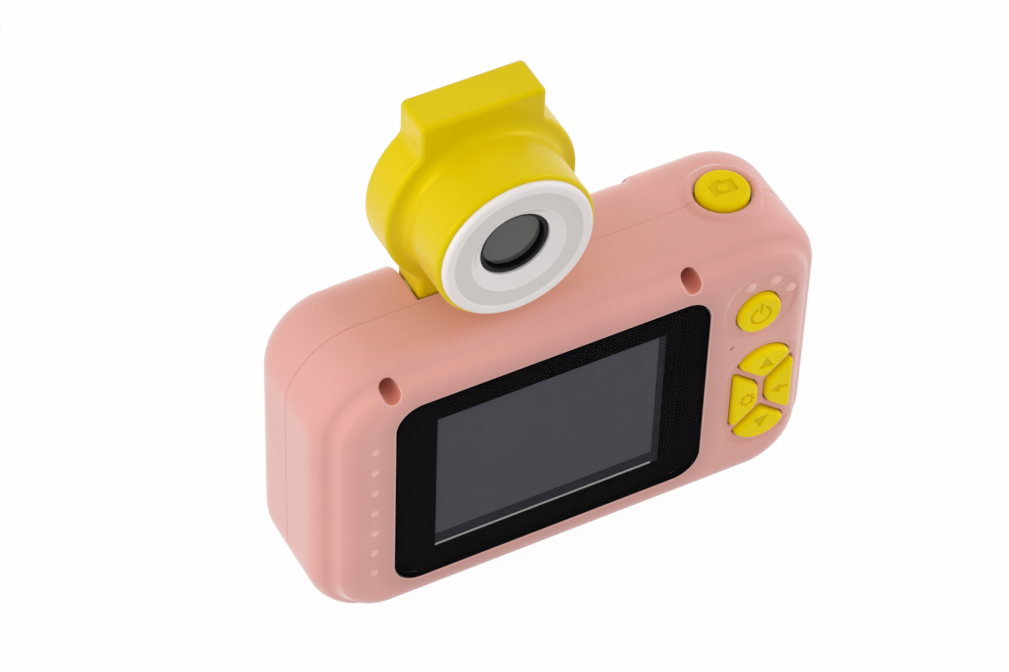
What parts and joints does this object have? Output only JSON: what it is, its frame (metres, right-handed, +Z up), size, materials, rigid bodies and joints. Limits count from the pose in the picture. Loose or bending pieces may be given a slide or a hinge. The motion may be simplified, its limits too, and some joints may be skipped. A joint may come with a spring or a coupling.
{
  "type": "toy camera",
  "caption": "Pink moulded toy camera with a screen on the back, separate keys, and a yellow lens head that flips over the top from looking back to looking forward.",
  "frame": {"origin": "middle of the base, in the plane of the parting line between the two case halves", "axes": "+Z up, +X to the right as seen from the screen side, -Y out of the screen"},
  "size_m": [0.107, 0.0339, 0.1084],
  "materials": {
    "case_pink": "fine satin texture",
    "head_yellow": "fine satin texture",
    "ring_white": "satin",
    "black_plastic": "satin",
    "pale_plastic": "satin",
    "screen_clear": "clear gloss window plate",
    "mask_black": "printed film",
    "display": "gloss",
    "lens_glass": "gloss",
    "circuit_board": "solder mask",
    "chip_black": "moulded",
    "steel": "plated",
    "battery_wrap": "foil",
    "foam": "open foam",
    "flex_film": "film",
    "cable_black": "satin"
  },
  "bodies": {
    "root": {"rear_case": "case_pink", "front_case": "case_pink", "case_screws": "steel", "screen_cover": "screen_clear", "screen_mask": "mask_black", "lcd_glass": "display", "lcd_backlight": "pale_plastic", "lcd_cushion": "foam", "lcd_flex": "flex_film", "main_board": "circuit_board", "board_screws": "steel", "processor": "chip_black", "memory_chip": "chip_black", "usb_socket": "steel", "card_socket": "steel", "battery": "battery_wrap", "battery_pad": "foam", "speaker": "black_plastic", "microphone": "steel", "key_switches": "black_plastic", "shutter_board": "circuit_board", "shutter_switch": "black_plastic", "hinge_washers": "pale_plastic", "body_cable": "cable_black", "cable_socket": "pale_plastic"},
    "head": {"head_shell": "head_yellow", "head_cover": "head_yellow", "head_screws": "steel", "lens_ring": "ring_white", "lens_bezel": "black_plastic", "lens_glass": "lens_glass", "lens_barrel": "black_plastic", "lens_holder": "black_plastic", "image_sensor": "chip_black", "sensor_board": "circuit_board", "head_cable": "cable_black", "cable_plug": "pale_plastic", "hinge_pin": "steel", "cable_pin": "steel"},
    "shutter": {"shutter_button": "head_yellow", "shutter_plunger": "pale_plastic"},
    "power": {"power_button": "head_yellow", "power_plunger": "pale_plastic"},
    "up": {"up_key": "head_yellow", "up_plunger": "pale_plastic"},
    "down": {"down_key": "head_yellow", "down_plunger": "pale_plastic"},
    "settings": {"settings_key": "head_yellow", "settings_plunger": "pale_plastic"},
    "playback": {"playback_key": "head_yellow", "playback_plunger": "pale_plastic"}
  },
  "joints": [
    {"name": "head_flip", "type": "hinge", "parent": "root", "child": "head", "pos_m": [-0.0127, 0.00585, 0.0619], "axis": [-1, 0, 0], "range_deg": [0, 180]},
    {"name": "shutter_press", "type": "slide", "parent": "root", "child": "shutter", "axis": [0, 0, -1], "range_m": [0, 0.0008], "stiffness_N_per_m": 600},
    {"name": "power_press", "type": "slide", "parent": "root", "child": "power", "axis": [0, 1, 0], "range_m": [0, 0.0005], "stiffness_N_per_m": 500},
    {"name": "up_press", "type": "slide", "parent": "root", "child": "up", "axis": [0, 1, 0], "range_m": [0, 0.0005], "stiffness_N_per_m": 500},
    {"name": "down_press", "type": "slide", "parent": "root", "child": "down", "axis": [0, 1, 0], "range_m": [0, 0.0005], "stiffness_N_per_m": 500},
    {"name": "settings_press", "type": "slide", "parent": "root", "child": "settings", "axis": [0, 1, 0], "range_m": [0, 0.0005], "stiffness_N_per_m": 500},
    {"name": "playback_press", "type": "slide", "parent": "root", "child": "playback", "axis": [0, 1, 0], "range_m": [0, 0.0005], "stiffness_N_per_m": 500}
  ]
}
